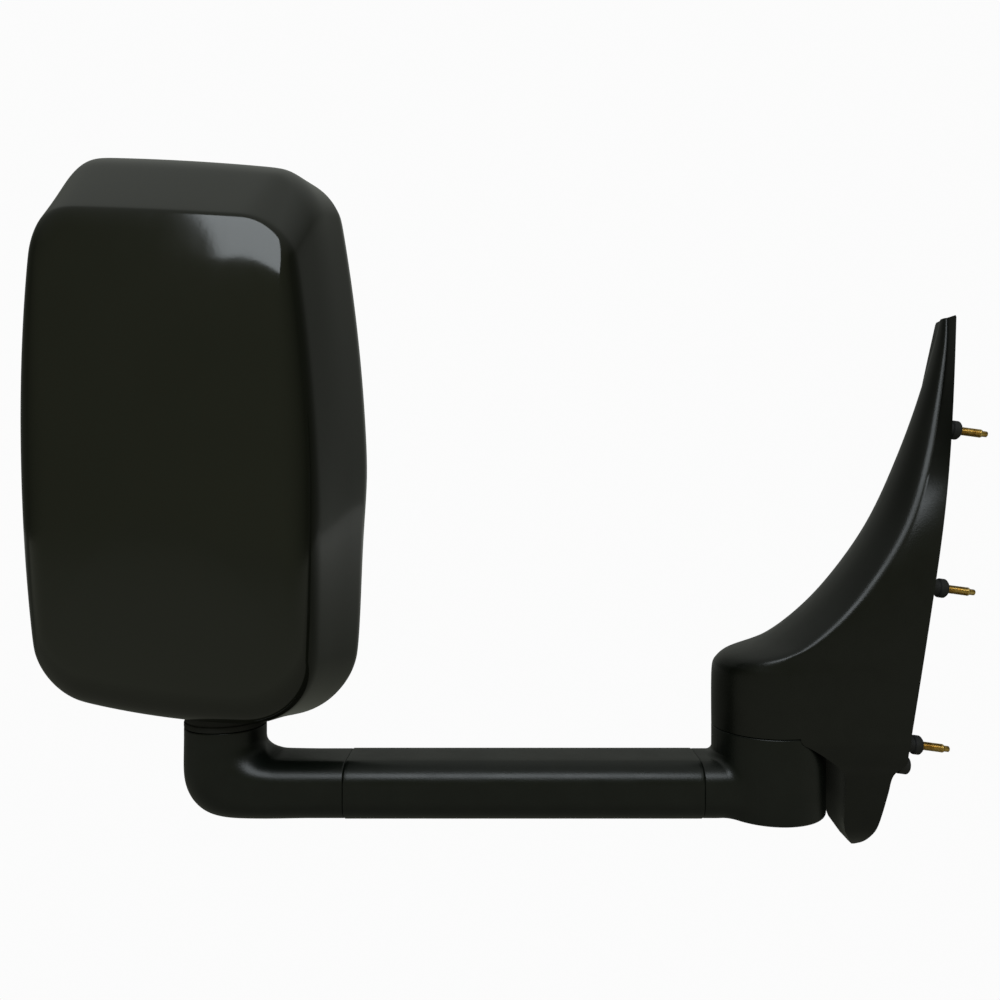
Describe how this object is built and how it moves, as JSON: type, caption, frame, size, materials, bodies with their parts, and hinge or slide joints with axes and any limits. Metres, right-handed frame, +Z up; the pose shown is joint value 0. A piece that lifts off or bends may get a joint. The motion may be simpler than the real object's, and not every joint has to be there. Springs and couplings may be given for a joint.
{
  "type": "towing mirror",
  "caption": "Van towing mirror: tall gloss-black head with flat and convex glass on a swivel neck, folding black arm and a sail-shaped door base with studs.",
  "frame": {"origin": "on the mounting face, on the outer face of the door gasket, in the plane of the folding and swivel axes and at the middle stud's height", "axes": "+Z up, +X towards the vehicle, -Y towards the vehicle's front, so the glass faces +Y"},
  "size_m": [0.6585, 0.11, 0.4873],
  "materials": {
    "head_gloss": "gloss black paint",
    "arm_coat": "satin black textured coat",
    "sail_plastic": "satin black, fine leather grain",
    "black_plastic": "matt black",
    "black_rubber": "matt",
    "yellow_zinc": "yellow zinc plate",
    "plain_steel": "clear zinc plate",
    "cast_bracket": "as cast",
    "nylon": "natural nylon",
    "mirror_glass": "silvered glass"
  },
  "bodies": {
    "base": {"base_cover": "sail_plastic", "base_bracket": "cast_bracket", "door_gasket": "black_rubber", "door_stud_1": "yellow_zinc", "door_stud_2": "yellow_zinc", "door_stud_3": "yellow_zinc", "stud_spacer_1": "black_rubber", "stud_spacer_2": "black_rubber", "stud_spacer_3": "black_rubber", "locating_peg": "black_plastic", "pivot_bolt": "plain_steel", "pivot_wear_washer": "nylon", "pivot_lower_washer": "plain_steel", "pivot_spring": "plain_steel", "pivot_spring_washer": "plain_steel", "pivot_nut": "yellow_zinc"},
    "arm": {"arm_boss": "arm_coat", "boss_cap": "black_plastic", "arm_tube": "arm_coat", "elbow": "arm_coat", "neck_ring": "black_rubber", "neck_lower_washer": "plain_steel", "neck_spring": "plain_steel", "neck_upper_washer": "plain_steel", "neck_nut": "plain_steel"},
    "head": {"head_shell": "head_gloss", "head_bezel": "black_plastic", "head_bracket": "cast_bracket", "bracket_screw_1": "plain_steel", "bracket_screw_2": "plain_steel", "bracket_screw_3": "plain_steel", "bracket_screw_4": "plain_steel"},
    "upper_ball": {"upper_pivot_ball": "nylon"},
    "upper_mirror": {"upper_glass": "mirror_glass", "upper_glass_holder": "black_plastic"},
    "lower_ball": {"lower_pivot_ball": "nylon"},
    "lower_mirror": {"lower_glass": "mirror_glass", "lower_glass_holder": "black_plastic"}
  },
  "joints": [
    {"name": "arm_fold", "type": "hinge", "parent": "base", "child": "arm", "pos_m": [-0.1005, 0, -0.13], "axis": [0, 0, 1], "range_deg": [-80, 80]},
    {"name": "head_swivel", "type": "hinge", "parent": "arm", "child": "head", "pos_m": [-0.4795, 0, -0.09], "axis": [0, 0, 1], "range_deg": [-45, 45]},
    {"name": "upper_glass_turn", "type": "hinge", "parent": "head", "child": "upper_ball", "pos_m": [-0.49889, 0.0215, 0.17197], "axis": [0, 0, 1], "range_deg": [-8, 8]},
    {"name": "upper_glass_tilt", "type": "hinge", "parent": "upper_ball", "child": "upper_mirror", "pos_m": [-0.49889, 0.0215, 0.17197], "axis": [1, 0, 0], "range_deg": [-8, 8]},
    {"name": "lower_glass_turn", "type": "hinge", "parent": "head", "child": "lower_ball", "pos_m": [-0.49928, 0.0215, -0.02746], "axis": [0, 0, 1], "range_deg": [-8, 8]},
    {"name": "lower_glass_tilt", "type": "hinge", "parent": "lower_ball", "child": "lower_mirror", "pos_m": [-0.49928, 0.0215, -0.02746], "axis": [1, 0, 0], "range_deg": [-8, 8]}
  ]
}
